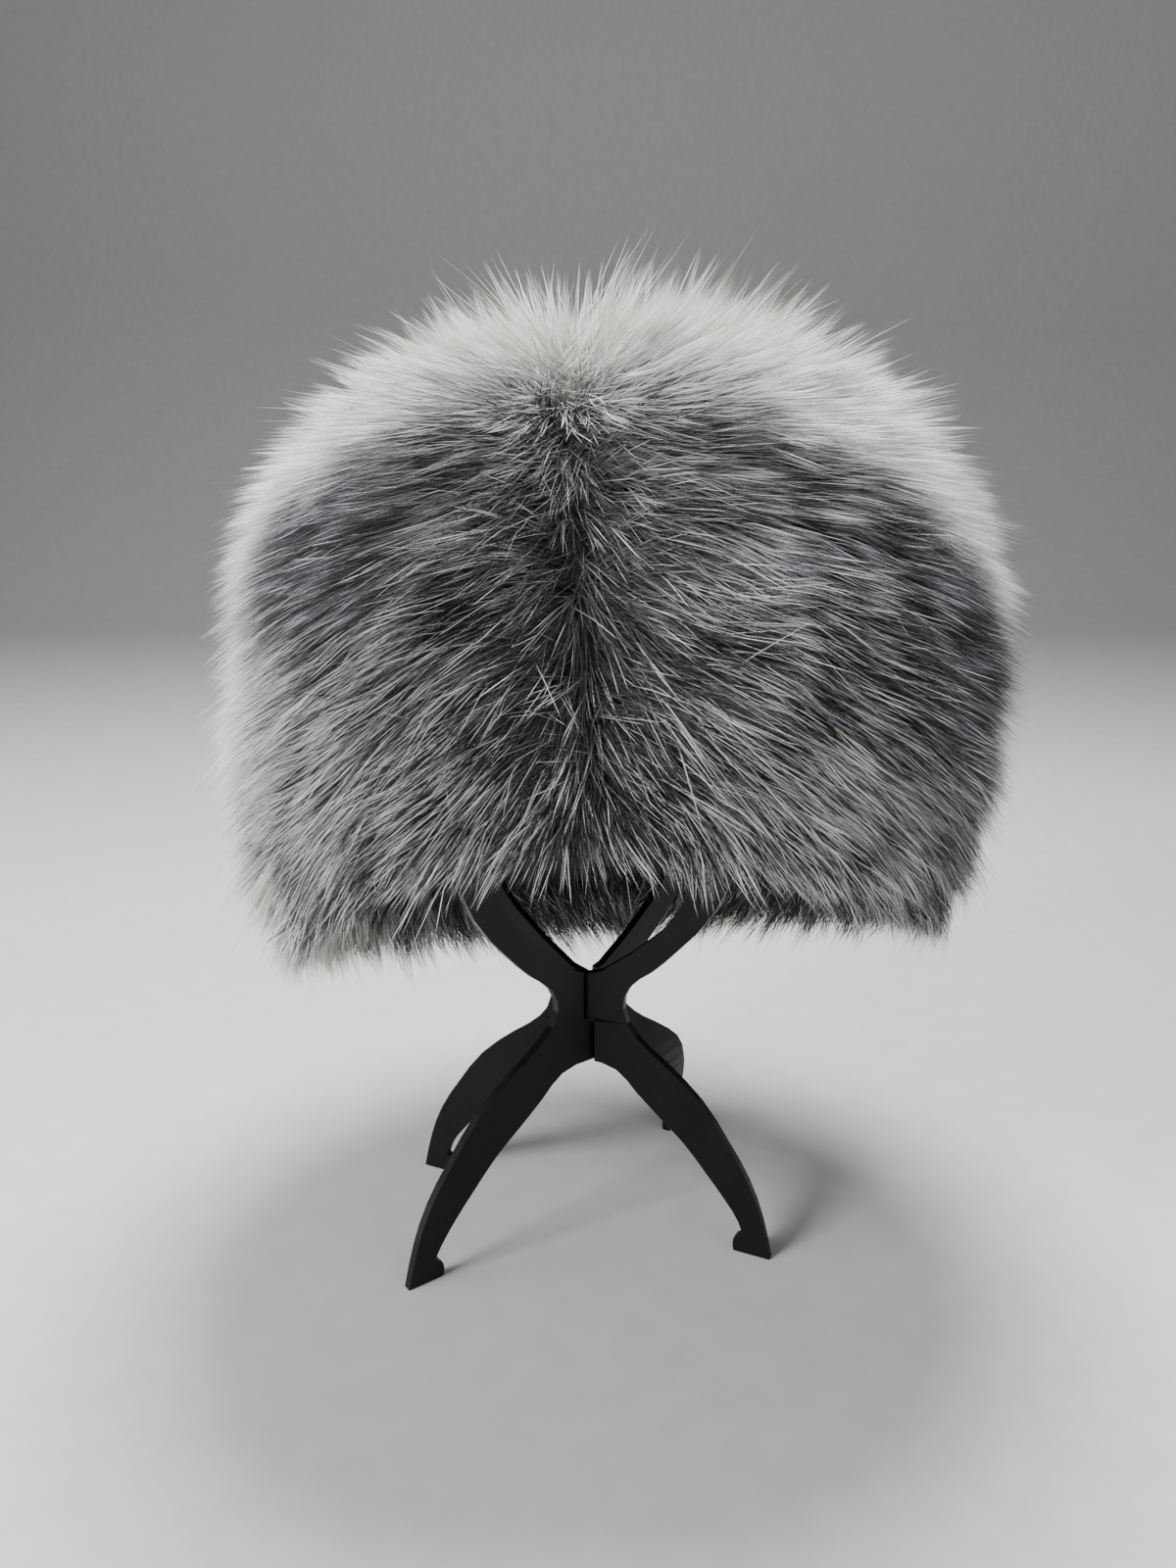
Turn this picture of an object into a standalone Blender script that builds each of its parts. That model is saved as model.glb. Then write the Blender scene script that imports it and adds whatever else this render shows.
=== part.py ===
"""A silver fox fur hat on a folding stand of two slotted plates.

Metres, +Z up, front towards -Y. The origin is on the floor, under the middle of the whole object's box.
"""

import math
import random

import bmesh
import bpy
from mathutils import Matrix, Vector

# The stand's plates
STAND_HEIGHT = 0.345
RISING_FOOT_SPAN = 0.195
FALLING_FOOT_SPAN = 0.180
WAIST_WIDTH = 0.036
WAIST_HEIGHT = 0.107
LEG_ARCH_HEIGHT = 0.0786
LOOP_BOTTOM_HEIGHT = 0.1215
ARM_WIDTH = 0.0135
PLATE_THICKNESS = 0.004
PLATE_CHAMFER = 0.0006
FOOT_LENGTH = 0.0175
TOE_HEIGHT = 0.008
INSTEP_HEIGHT = 0.0095
SLOT_CLEARANCE = 0.0005
RISING_PLATE_TURN = math.radians(37)
FALLING_PLATE_TURN = math.radians(-25)
# The rising plate's rear leg is sprung round, out of line with the rest of its plate
REAR_LEG_SPRING = math.radians(22)

# The hat's hollow and its padded skin. The stand's loops leave the lining this room on each side.
HEAD_WIDTH = 0.180
HEAD_LENGTH = 0.204
ROOM_BESIDE_LOOPS = 0.013
CROWN_DEPTH = 0.148
EAR_DROP = 0.024
SHELL_WALL = 0.004
SHELL_ROUNDNESS = 2.5
SHELL_TUCK = 0.03

# The dense fur over the skin, and the locks that stand out of it
FUR_AT_LEFT = 0.049
FUR_AT_RIGHT = 0.064
FUR_AT_FRONT = 0.042
FUR_AT_BACK = 0.048
FUR_ON_TOP = 0.032
FUR_BELOW_RIM = 0.030
FUR_ROUNDNESS = 2.5
FUR_TUCK = 0.15
PELT_GAP = 0.0012
LOCK_LENGTH = 0.030
LOCK_LIFT_AT_RIM = math.radians(30)
LOCK_LIFT_ON_TOP = math.radians(62)
LOCK_UNEVENNESS = 0.25
HANG = 0.9

# How the hat sits on the stand
TILT_BACK = math.radians(20)
TILT_TO_LEFT = math.radians(3)
TURN_TO_LEFT = math.radians(6)
HAT_SHIFT_RIGHT = 0.006
HAT_SHIFT_BACK = -0.014
SEAT_GAP = 0.0015

# Columns: reach as a share of half the plate's foot span, rise as a share of the waist height
LEG_OUTER_EDGE = (
    (0.950, 0.173),
    (0.875, 0.333),
    (0.765, 0.481),
    (0.615, 0.652),
    (0.430, 0.785),
    (0.270, 0.890),
)
LEG_INNER_EDGE = (
    (0.164, 0.716),
    (0.277, 0.631),
    (0.404, 0.538),
    (0.528, 0.450),
    (0.651, 0.335),
    (0.758, 0.228),
    (0.833, 0.138),
)
# Columns: reach as a share of the dome's radius, rise as a share of the way from waist to dome centre
ARM_OUTER_EDGE = (
    (0.272, 0.069),
    (0.413, 0.128),
    (0.549, 0.194),
    (0.779, 0.332),
    (0.905, 0.500),
    (0.972, 0.720),
)
# Columns: reach as a share of the loop's radius, rise as a share of the way from loop bottom to dome centre
ARM_INNER_EDGE = (
    (0.220, 0.052),
    (0.455, 0.136),
    (0.639, 0.220),
    (0.800, 0.360),
    (0.905, 0.530),
    (0.970, 0.750),
)
ARC_ANGLES = (0, 30, 60)

# The seam round the crown, as shares of the way from rim to crown, by the angle from the front
CROWN_SEAM = {"front": 0.52, "right": 0.36, "back": 0.42, "left": 0.46}
SIDE_SEAM_ANGLE = math.radians(100)
# Where the fur parts, by angles from the front and shares of the way from rim to crown
PARTING_LOW = (math.radians(5), 0.05)
PARTING_HIGH = (math.radians(2), 0.50)

PELT_CROWN_CELLS = 15
PELT_BAND_ROWS = 11
PELT_FRONT_COLUMNS, PELT_BACK_COLUMNS = 32, 26
SKIN_CROWN_CELLS = 16
SKIN_BAND_ROWS = 8
SKIN_FRONT_COLUMNS, SKIN_BACK_COLUMNS = 24, 20

PLASTIC = {"color": (0.012, 0.012, 0.013, 1), "roughness": 0.42}
SKIN = {"color": (0.30, 0.25, 0.21, 1), "roughness": 0.85}
DARK_FUR = {"color": (0.13, 0.125, 0.135, 1), "roughness": 0.8}
PALE_FUR = {"color": (0.62, 0.60, 0.57, 1), "roughness": 0.8}

COLLECTION_NAME = "fur_hat_on_stand"
CUTTER_COLLECTION_NAME = "cutters"


def clear_scene():
    for leftover in list(bpy.data.objects):
        bpy.data.objects.remove(leftover)


def new_collection(name):
    collection = bpy.data.collections.new(name)
    bpy.context.scene.collection.children.link(collection)
    return collection


def new_material(name, finish):
    material = bpy.data.materials.new(name)
    material.use_nodes = True
    shader = material.node_tree.nodes["Principled BSDF"]
    shader.inputs["Base Color"].default_value = finish["color"]
    shader.inputs["Roughness"].default_value = finish["roughness"]
    shader.inputs["Metallic"].default_value = 0.0
    return material


def add_object(name, mesh, collection, parent, finish):
    piece = bpy.data.objects.new(name, mesh)
    collection.objects.link(piece)
    piece.parent = parent
    mesh.materials.append(new_material(f"{name}_finish", finish))
    return piece


def add_empty(name, collection, parent=None):
    empty = bpy.data.objects.new(name, None)
    collection.objects.link(empty)
    empty.parent = parent
    return empty


# Stand plates


def dome_radius():
    """The loops' top is a half circle that fits the hat's width."""
    return HEAD_WIDTH / 2 - ROOM_BESIDE_LOOPS


def dome_centre_height():
    return STAND_HEIGHT - dome_radius()


def arc(radius):
    """Points of a quarter circle from its side towards its top, without the top itself."""
    return [
        (
            radius * math.cos(math.radians(angle)),
            dome_centre_height() + radius * math.sin(math.radians(angle)),
        )
        for angle in ARC_ANGLES
    ]


def mirrored(points):
    """The same points on the other side of the plate's middle line, in the opposite order."""
    return [(-reach, rise) for reach, rise in reversed(points)]


def plate_rim(half_span):
    """The plate's outer edge, anticlockwise from the right toe, and which of its points are corners."""
    toe = half_span - FOOT_LENGTH
    foot = [
        (toe + 0.03 * FOOT_LENGTH, 0.0),
        (half_span, 0.0),
    ]
    leg_up = [(half_span * reach, WAIST_HEIGHT * rise) for reach, rise in LEG_OUTER_EDGE]
    waist = [(WAIST_WIDTH / 2, WAIST_HEIGHT)]
    to_dome = dome_centre_height() - WAIST_HEIGHT
    arm = [
        (dome_radius() * reach, WAIST_HEIGHT + to_dome * rise)
        for reach, rise in ARM_OUTER_EDGE
    ]
    right_side = foot + leg_up + waist + arm + arc(dome_radius())
    top = [(0.0, STAND_HEIGHT)]
    leg_down = [(half_span * reach, WAIST_HEIGHT * rise) for reach, rise in LEG_INNER_EDGE]
    instep = [
        (toe + 0.24 * FOOT_LENGTH, INSTEP_HEIGHT),
        (toe + 0.08 * FOOT_LENGTH, TOE_HEIGHT),
        (toe, 0.5 * TOE_HEIGHT),
    ]
    under = mirrored(leg_down + instep) + [(0.0, LEG_ARCH_HEIGHT)] + leg_down + instep
    rim = right_side + top + mirrored(right_side) + under
    corners = {foot[0], foot[1], instep[0], *mirrored(foot + instep[:1])}
    return rim, corners


def plate_loop():
    """The edge of the opening that the arms and the dome enclose."""
    radius = dome_radius() - ARM_WIDTH
    to_dome = dome_centre_height() - LOOP_BOTTOM_HEIGHT
    side = [
        (radius * reach, LOOP_BOTTOM_HEIGHT + to_dome * rise)
        for reach, rise in ARM_INNER_EDGE
    ] + arc(radius)
    return side + [(0.0, STAND_HEIGHT - ARM_WIDTH)] + mirrored(side) + [(0.0, LOOP_BOTTOM_HEIGHT)]


def add_spline(curve, points, corners=()):
    spline = curve.splines.new("BEZIER")
    spline.bezier_points.add(len(points) - 1)
    spline.use_cyclic_u = True
    for knot, (reach, rise) in zip(spline.bezier_points, points):
        knot.co = (reach, rise, 0)
        handle = "VECTOR" if (reach, rise) in corners else "AUTO"
        knot.handle_left_type = knot.handle_right_type = handle


def eased(share):
    share = min(max(share, 0.0), 1.0)
    return share * share * (3 - 2 * share)


def spring_leg(shape, spring):
    """Turns the leg on the +X side about the stand's axis, by nothing at the waist and all at the foot."""
    for step in (0, 1, 2):
        fold = slot_width() + step * WAIST_WIDTH / 4
        everything = shape.verts[:] + shape.edges[:] + shape.faces[:]
        bmesh.ops.bisect_plane(shape, geom=everything, plane_co=(fold, 0, 0), plane_no=(1, 0, 0))
    for corner in shape.verts:
        outwards = eased((corner.co.x - slot_width()) / (WAIST_WIDTH / 2))
        downwards = eased((WAIST_HEIGHT - corner.co.z) / (0.9 * WAIST_HEIGHT))
        corner.co.rotate(Matrix.Rotation(spring * outwards * downwards, 3, "Z"))


def plate_mesh(name, foot_span, spring):
    """The uncut plate, standing in the XZ plane."""
    curve = bpy.data.curves.new(f"{name}_outline", "CURVE")
    curve.dimensions = "2D"
    curve.fill_mode = "BOTH"
    curve.extrude = PLATE_THICKNESS / 2
    curve.resolution_u = 2
    add_spline(curve, *plate_rim(foot_span / 2))
    add_spline(curve, plate_loop())
    outline = bpy.data.objects.new(f"{name}_outline", curve)
    bpy.context.scene.collection.objects.link(outline)
    bpy.context.view_layer.update()
    graph = bpy.context.evaluated_depsgraph_get()
    mesh = bpy.data.meshes.new_from_object(outline.evaluated_get(graph))
    bpy.data.objects.remove(outline)
    shape = bmesh.new()
    shape.from_mesh(mesh)
    bmesh.ops.remove_doubles(shape, verts=shape.verts, dist=1e-6)
    bmesh.ops.rotate(shape, verts=shape.verts, matrix=Matrix.Rotation(math.pi / 2, 3, "X"))
    if spring:
        spring_leg(shape, spring)
    shape.to_mesh(mesh)
    shape.free()
    mesh.name = name
    return mesh


def slot_width():
    """Room for a plate that crosses this one at the stand's opening angle."""
    crossing = RISING_PLATE_TURN - FALLING_PLATE_TURN
    across = (1 + abs(math.cos(crossing))) / abs(math.sin(crossing))
    return PLATE_THICKNESS * across + 2 * SLOT_CLEARANCE


def cut_slot(plate, cutters, low, high):
    """Cuts a slot on the plate's middle line between two heights."""
    bpy.ops.mesh.primitive_cube_add(size=1)
    cutter = bpy.context.active_object
    for holder in list(cutter.users_collection):
        holder.objects.unlink(cutter)
    cutters.objects.link(cutter)
    cutter.name = f"{plate.name}_slot"
    cutter.scale = (slot_width(), 3 * PLATE_THICKNESS, high - low)
    cutter.location = (0, 0, (low + high) / 2)
    cutter.parent = plate
    cutter.hide_render = True
    cutter.display_type = "WIRE"
    cut = plate.modifiers.new("slot", "BOOLEAN")
    cut.operation = "DIFFERENCE"
    cut.object = cutter


def add_plate(name, foot_span, turn, spring, slots_open_up, collection, cutters, parent):
    """One plate. At the waist and at the top each plate gives up half its height to the other."""
    plate = add_object(name, plate_mesh(name, foot_span, spring), collection, parent, PLASTIC)
    plate.rotation_euler.z = turn
    spare = ARM_WIDTH
    crossings = (
        (LEG_ARCH_HEIGHT, LOOP_BOTTOM_HEIGHT),
        (STAND_HEIGHT - ARM_WIDTH, STAND_HEIGHT),
    )
    for low, high in crossings:
        middle = (low + high) / 2
        if slots_open_up:
            cut_slot(plate, cutters, middle - SLOT_CLEARANCE / 2, high + spare)
        else:
            cut_slot(plate, cutters, low - spare, middle + SLOT_CLEARANCE / 2)
    chamfer = plate.modifiers.new("chamfer", "BEVEL")
    chamfer.width = PLATE_CHAMFER
    chamfer.segments = 1
    chamfer.limit_method = "ANGLE"
    chamfer.angle_limit = math.radians(60)
    plate.data.shade_smooth()
    plate.data.set_sharp_from_angle(angle=math.radians(35))
    return plate


# The hat's surfaces. An angle of 0 is the front and grows towards +X. A share of 0 is the rim and 1 is
# the middle of the crown.


def rim_drop(angle):
    """How far the rim hangs below its front, which is arched over the face."""
    off_front = abs(math.remainder(angle, 2 * math.pi))
    if off_front < math.pi / 2:
        return EAR_DROP * math.sin(off_front) ** 2
    return EAR_DROP * (1 - 0.1 * math.cos(off_front) ** 2)


def dome_point(angle, share, half_width, half_length, height, roundness, tuck, hang):
    """A point of a dome, rounded as a superellipse, whose rim follows the face and is drawn in a little."""
    up = share * math.pi / 2
    reach = max(math.cos(up), 0.0) ** (2 / roundness)
    reach *= 1 - tuck * (1 - share) ** 4
    rise = height * max(math.sin(up), 0.0) ** (2 / roundness)
    rise -= (rim_drop(angle) + hang) * (1 - share) ** 2
    return Vector(
        (
            half_width * reach * math.sin(angle),
            -half_length * reach * math.cos(angle),
            rise,
        )
    )


def inner_point(angle, share, offset=0.0):
    """The hollow's surface, or one this far outside it."""
    return dome_point(
        angle,
        share,
        HEAD_WIDTH / 2 + offset,
        HEAD_LENGTH / 2 + offset,
        CROWN_DEPTH + offset,
        SHELL_ROUNDNESS,
        SHELL_TUCK,
        0.0,
    )


def fur_point(angle, share):
    """The surface of the dense fur, without its locks."""
    to_right = (1 + math.sin(angle)) / 2
    to_front = (1 + math.cos(angle)) / 2
    return dome_point(
        angle,
        share,
        HEAD_WIDTH / 2 + SHELL_WALL + FUR_AT_LEFT + (FUR_AT_RIGHT - FUR_AT_LEFT) * to_right,
        HEAD_LENGTH / 2 + SHELL_WALL + FUR_AT_BACK + (FUR_AT_FRONT - FUR_AT_BACK) * to_front,
        CROWN_DEPTH + SHELL_WALL + FUR_ON_TOP,
        FUR_ROUNDNESS,
        FUR_TUCK,
        FUR_BELOW_RIM,
    )


def fur_normal(angle, share):
    """The outward direction of the dense fur's surface."""
    step = 1e-3
    low, high = max(share - step, 0.0), min(share + step, 1.0 - step)
    up = fur_point(angle, high) - fur_point(angle, low)
    around = fur_point(angle + step, low) - fur_point(angle - step, low)
    return around.cross(up).normalized()


def nearest_on_parting(point):
    """The nearest point of the line from which the fur parts."""
    low, high = fur_point(*PARTING_LOW), fur_point(*PARTING_HIGH)
    along = (point - low).dot(high - low) / (high - low).length_squared
    return low.lerp(high, min(max(along, 0.0), 1.0))


def lock_direction(angle, share):
    """Locks lie away from the parting and downwards, and stand up more towards the crown."""
    point, normal = fur_point(angle, share), fur_normal(angle, share)
    away = (point - nearest_on_parting(point)).normalized()
    flow = away - Vector((0, 0, HANG * (1 - share) ** 1.5))
    flow -= normal * flow.dot(normal)
    flow.normalize()
    lift = LOCK_LIFT_AT_RIM + (LOCK_LIFT_ON_TOP - LOCK_LIFT_AT_RIM) * share
    return flow * math.cos(lift) + normal * math.sin(lift)


# Skins and pelts


def crown_seam_share(angle):
    """How far up the crown's seam lies, eased from quarter to quarter round the hat."""
    stops = [CROWN_SEAM[side] for side in ("front", "right", "back", "left", "front")]
    turn = (angle / (math.pi / 2)) % 4
    quarter = min(int(turn), 3)
    ease = (1 - math.cos((turn - quarter) * math.pi)) / 2
    return stops[quarter] * (1 - ease) + stops[quarter + 1] * ease


def seam_margin():
    """A seam's gap on each side, as a share of the way from rim to crown."""
    return PELT_GAP / CROWN_DEPTH


def crown_place(across, along):
    """Angle and share on the crown of a place in a square from -1 to 1."""
    x = across * math.sqrt(1 - along**2 / 2)
    y = along * math.sqrt(1 - across**2 / 2)
    angle = math.atan2(x, -y)
    edge = crown_seam_share(angle) + seam_margin()
    return angle, 1 - (1 - edge) * math.hypot(x, y)


def band_place(across, along, middle, half_turn):
    """Angle and share on a panel below the crown's seam of a place in a square from -1 to 1."""
    margin = PELT_GAP / HEAD_WIDTH
    angle = middle + across * (half_turn - margin)
    top = crown_seam_share(angle) - seam_margin()
    return angle, top * (along + 1) / 2


def front_place(across, along):
    return band_place(across, along, 0.0, SIDE_SEAM_ANGLE)


def back_place(across, along):
    return band_place(across, along, math.pi, math.pi - SIDE_SEAM_ANGLE)


def flat_panel(columns, rows):
    """A square from -1 to 1 in two layers, closed round its edge: the shape, its outer corners and cells."""
    shape = bmesh.new()
    bmesh.ops.create_grid(shape, x_segments=columns, y_segments=rows, size=1)
    raised = bmesh.ops.extrude_face_region(shape, geom=shape.faces[:])["geom"]
    outer = {item for item in raised if isinstance(item, bmesh.types.BMVert)}
    cells = [item for item in raised if isinstance(item, bmesh.types.BMFace)]
    return shape, outer, cells


def finished_panel(shape, name, collection, parent, finish):
    bmesh.ops.recalc_face_normals(shape, faces=shape.faces)
    mesh = bpy.data.meshes.new(name)
    shape.to_mesh(mesh)
    shape.free()
    return add_object(name, mesh, collection, parent, finish)


def add_skin(name, columns, rows, place, collection, parent):
    """A panel of the dressed skin, with its lining side towards the head."""
    shape, outer, _ = flat_panel(columns, rows)
    for corner in shape.verts:
        angle, share = place(corner.co.x, corner.co.y)
        corner.co = inner_point(angle, share, SHELL_WALL if corner in outer else 0.0)
    skin = finished_panel(shape, name, collection, parent, SKIN)
    skin.data.shade_smooth()
    skin.data.set_sharp_from_angle(angle=math.radians(50))


def add_pelt(name, columns, rows, place, finish, seed, collection, parent):
    """A panel of fur: its dense fur against the skin, and a lock drawn out of each cell."""
    shape, outer, cells = flat_panel(columns, rows)
    tips = set(bmesh.ops.poke(shape, faces=cells)["verts"])
    uneven = random.Random(seed)
    for corner in shape.verts:
        angle, share = place(corner.co.x, corner.co.y)
        if corner in tips:
            length = LOCK_LENGTH * (1 + LOCK_UNEVENNESS * uneven.uniform(-1, 1))
            corner.co = fur_point(angle, share) + length * lock_direction(angle, share)
        elif corner in outer:
            corner.co = fur_point(angle, share)
        else:
            corner.co = inner_point(angle, share, SHELL_WALL + PELT_GAP)
    finished_panel(shape, name, collection, parent, finish)


def add_hat_panels(collection, parent):
    """Three panels, sewn together round the crown and down behind the ears."""
    skins = (
        ("front_skin", SKIN_FRONT_COLUMNS, SKIN_BAND_ROWS, front_place),
        ("back_skin", SKIN_BACK_COLUMNS, SKIN_BAND_ROWS, back_place),
        ("crown_skin", SKIN_CROWN_CELLS, SKIN_CROWN_CELLS, crown_place),
    )
    for name, columns, rows, place in skins:
        add_skin(name, columns, rows, place, collection, parent)
    pelts = (
        ("front_pelt", PELT_FRONT_COLUMNS, PELT_BAND_ROWS, front_place, DARK_FUR),
        ("back_pelt", PELT_BACK_COLUMNS, PELT_BAND_ROWS, back_place, DARK_FUR),
        ("crown_pelt", PELT_CROWN_CELLS, PELT_CROWN_CELLS, crown_place, PALE_FUR),
    )
    for seed, (name, columns, rows, place, finish) in enumerate(pelts):
        add_pelt(name, columns, rows, place, finish, seed, collection, parent)


# Placing


def world_corners(piece):
    """The corners of a piece as it is built, in world space."""
    bpy.context.view_layer.update()
    built = piece.evaluated_get(bpy.context.evaluated_depsgraph_get())
    return [built.matrix_world @ corner.co for corner in built.data.vertices]


def fits_hollow(corners):
    """Whether corners on the hat's own axes keep clear of its lining."""
    half_width = HEAD_WIDTH / 2 - SEAT_GAP
    half_length = HEAD_LENGTH / 2 - SEAT_GAP
    depth = CROWN_DEPTH - SEAT_GAP
    for x, y, z in corners:
        if z > 0:
            out = math.hypot(x / half_width, y / half_length)
            if out**SHELL_ROUNDNESS + (z / depth) ** SHELL_ROUNDNESS > 1:
                return False
    return True


def seat_hat(hat, plates):
    """Lowers the hat over the stand until its lining all but touches the plates."""
    axes = hat.rotation_euler.to_matrix().transposed()
    place = Vector((HAT_SHIFT_RIGHT, HAT_SHIFT_BACK, 0.0))
    carried = [axes @ (corner - place) for plate in plates for corner in world_corners(plate)]
    up = axes @ Vector((0, 0, 1))
    too_low, clear = STAND_HEIGHT - CROWN_DEPTH - EAR_DROP, STAND_HEIGHT
    while clear - too_low > SEAT_GAP / 1000:
        height = (too_low + clear) / 2
        if fits_hollow([corner - up * height for corner in carried]):
            clear = height
        else:
            too_low = height
    hat.location = place + Vector((0, 0, clear))


def centre_on_origin(root, pieces):
    """Moves the whole object so that its box stands on the origin."""
    corners = [corner for piece in pieces for corner in world_corners(piece)]
    for axis in (0, 1):
        values = [corner[axis] for corner in corners]
        root.location[axis] = -(min(values) + max(values)) / 2


def main():
    clear_scene()
    collection = new_collection(COLLECTION_NAME)
    cutters = new_collection(CUTTER_COLLECTION_NAME)
    root = add_empty("object_origin", collection)
    hat = add_empty("hat_axis", collection, root)
    turn = Matrix.Rotation(-TURN_TO_LEFT, 4, "Z")
    back = Matrix.Rotation(-TILT_BACK, 4, "X")
    left = Matrix.Rotation(-TILT_TO_LEFT, 4, "Y")
    hat.rotation_euler = (left @ back @ turn).to_euler()
    rising = (RISING_FOOT_SPAN, RISING_PLATE_TURN, REAR_LEG_SPRING, True)
    falling = (FALLING_FOOT_SPAN, FALLING_PLATE_TURN, 0.0, False)
    plates = [
        add_plate("stand_plate_rising", *rising, collection, cutters, root),
        add_plate("stand_plate_falling", *falling, collection, cutters, root),
    ]
    add_hat_panels(collection, hat)
    seat_hat(hat, plates)
    pieces = [item for item in collection.objects if item.type == "MESH"]
    centre_on_origin(root, pieces)


main()
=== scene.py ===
import math

import bpy
import numpy as np
from mathutils import Matrix, Vector


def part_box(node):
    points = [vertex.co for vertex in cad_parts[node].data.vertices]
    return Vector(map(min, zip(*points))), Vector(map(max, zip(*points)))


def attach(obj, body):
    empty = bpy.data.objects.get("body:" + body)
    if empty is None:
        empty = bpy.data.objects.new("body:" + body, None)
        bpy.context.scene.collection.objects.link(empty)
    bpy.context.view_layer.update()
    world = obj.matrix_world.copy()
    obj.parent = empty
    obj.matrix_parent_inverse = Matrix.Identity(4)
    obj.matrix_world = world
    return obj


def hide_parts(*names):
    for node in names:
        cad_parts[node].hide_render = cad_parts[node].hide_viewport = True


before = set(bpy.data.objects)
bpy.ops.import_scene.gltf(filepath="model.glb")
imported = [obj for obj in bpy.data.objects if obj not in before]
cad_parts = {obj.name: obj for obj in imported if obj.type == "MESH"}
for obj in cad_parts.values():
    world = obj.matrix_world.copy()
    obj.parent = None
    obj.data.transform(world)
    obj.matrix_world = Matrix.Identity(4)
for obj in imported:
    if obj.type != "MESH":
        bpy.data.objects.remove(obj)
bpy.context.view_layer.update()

# The folding stand
# Two moulded plates of black plastic, slotted into each other at the waist and at the top.
# They come whole from the frame, and get the satin skin of moulded plastic.


class Tone:
    """A number that varies over a surface. Sums and products of it add Math nodes."""

    def __init__(self, finish, socket):
        self.finish = finish
        self.socket = socket

    def math(self, operation, first, second):
        made = self.finish.node("ShaderNodeMath", {"operation": operation}, {0: first, 1: second})
        return Tone(self.finish, made.outputs[0])

    def __add__(self, other):
        return self.math("ADD", self, other)

    def __sub__(self, other):
        return self.math("SUBTRACT", self, other)

    def __rsub__(self, other):
        return self.math("SUBTRACT", other, self)

    def __mul__(self, other):
        return self.math("MULTIPLY", self, other)

    __radd__ = __add__
    __rmul__ = __mul__

    def clamped(self):
        made = self.finish.node("ShaderNodeClamp", {}, {"Value": self})
        return Tone(self.finish, made.outputs[0])


class Finish:
    """A material of the hat or its stand, built from nodes on one Principled shader."""

    def __init__(self, name, roughness, specular=0.5, sheen=0.0):
        self.material = bpy.data.materials.new(name)
        self.material.use_nodes = True
        self.tree = self.material.node_tree
        self.shader = self.tree.nodes["Principled BSDF"]
        self.shader.inputs["Roughness"].default_value = roughness
        self.shader.inputs["Specular IOR Level"].default_value = specular
        self.shader.inputs["Sheen Weight"].default_value = sheen

    def node(self, kind, settings, sockets):
        """Adds a node, sets it up, and fills its sockets with values or links."""
        made = self.tree.nodes.new(kind)
        for setting, value in settings.items():
            if setting == "stops":
                self.fill_ramp(made.color_ramp, value)
            else:
                setattr(made, setting, value)
        for socket, value in sockets.items():
            if isinstance(value, Tone):
                value = value.socket
            if isinstance(value, bpy.types.NodeSocket):
                self.tree.links.new(value, made.inputs[socket])
            else:
                made.inputs[socket].default_value = value
        return made

    def fill_ramp(self, ramp, stops):
        while len(ramp.elements) > 1:
            ramp.elements.remove(ramp.elements[-1])
        ramp.elements[0].position, ramp.elements[0].color = stops[0][0], (*stops[0][1], 1)
        for place, colour in stops[1:]:
            ramp.elements.new(place).color = (*colour, 1)

    def noise(self, place, scale, detail=2.0, roughness=0.5):
        made = self.node(
            "ShaderNodeTexNoise",
            {},
            {"Vector": place, "Scale": scale, "Detail": detail, "Roughness": roughness},
        )
        return Tone(self, made.outputs["Fac"])

    def ramp(self, tone, stops):
        return self.node("ShaderNodeValToRGB", {"stops": stops}, {"Fac": tone}).outputs["Color"]

    def blend(self, share, first, second):
        sockets = {"Factor": share, 6: first, 7: second}
        made = self.node("ShaderNodeMix", {"data_type": "RGBA"}, sockets)
        return made.outputs[2]

    def here(self):
        """The place on the piece, in metres."""
        return self.node("ShaderNodeTexCoord", {}, {}).outputs["Object"]

    def feed(self, socket, value):
        if isinstance(value, Tone):
            value = value.socket
        self.tree.links.new(value, self.shader.inputs[socket])

    def bump(self, height, distance):
        made = self.node("ShaderNodeBump", {}, {"Height": height, "Distance": distance})
        self.feed("Normal", made.outputs["Normal"])


PLASTIC_COLOURS = ((0.3, (0.0030, 0.0028, 0.0028)), (0.7, (0.0062, 0.0056, 0.0052)))
PLASTIC_GRAIN, PLASTIC_HANDLING, PLASTIC_RELIEF = 900, 38, 0.00012
PLASTIC_GLOSSIEST, PLASTIC_GLOSS_SPREAD = 0.28, 0.22


def black_plastic():
    """Fine moulded grain, with slow swells in the gloss where the plate has been handled."""
    finish = Finish("black_plastic", roughness=0.4, specular=0.2)
    grain = finish.noise(finish.here(), PLASTIC_GRAIN, detail=3)
    handling = finish.noise(finish.here(), PLASTIC_HANDLING, detail=4, roughness=0.6)
    finish.feed("Base Color", finish.ramp(handling, PLASTIC_COLOURS))
    finish.feed("Roughness", handling * PLASTIC_GLOSS_SPREAD + PLASTIC_GLOSSIEST)
    finish.bump(grain + handling * 2, PLASTIC_RELIEF)
    return finish.material


for plate_name in ("stand_plate_rising", "stand_plate_falling"):
    plate = bpy.data.objects[plate_name]
    plate.data.materials.clear()
    plate.data.materials.append(black_plastic())

# The hat's skin
# Dressed fox skins sewn hair side out over a thin pad, seen from below as a matt suede lining.
# It comes whole from the frame. The fur's pieces follow the same dome, so its sizes stand here.

HEAD_WIDTH, HEAD_LENGTH, CROWN_DEPTH = 0.180, 0.204, 0.148
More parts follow.
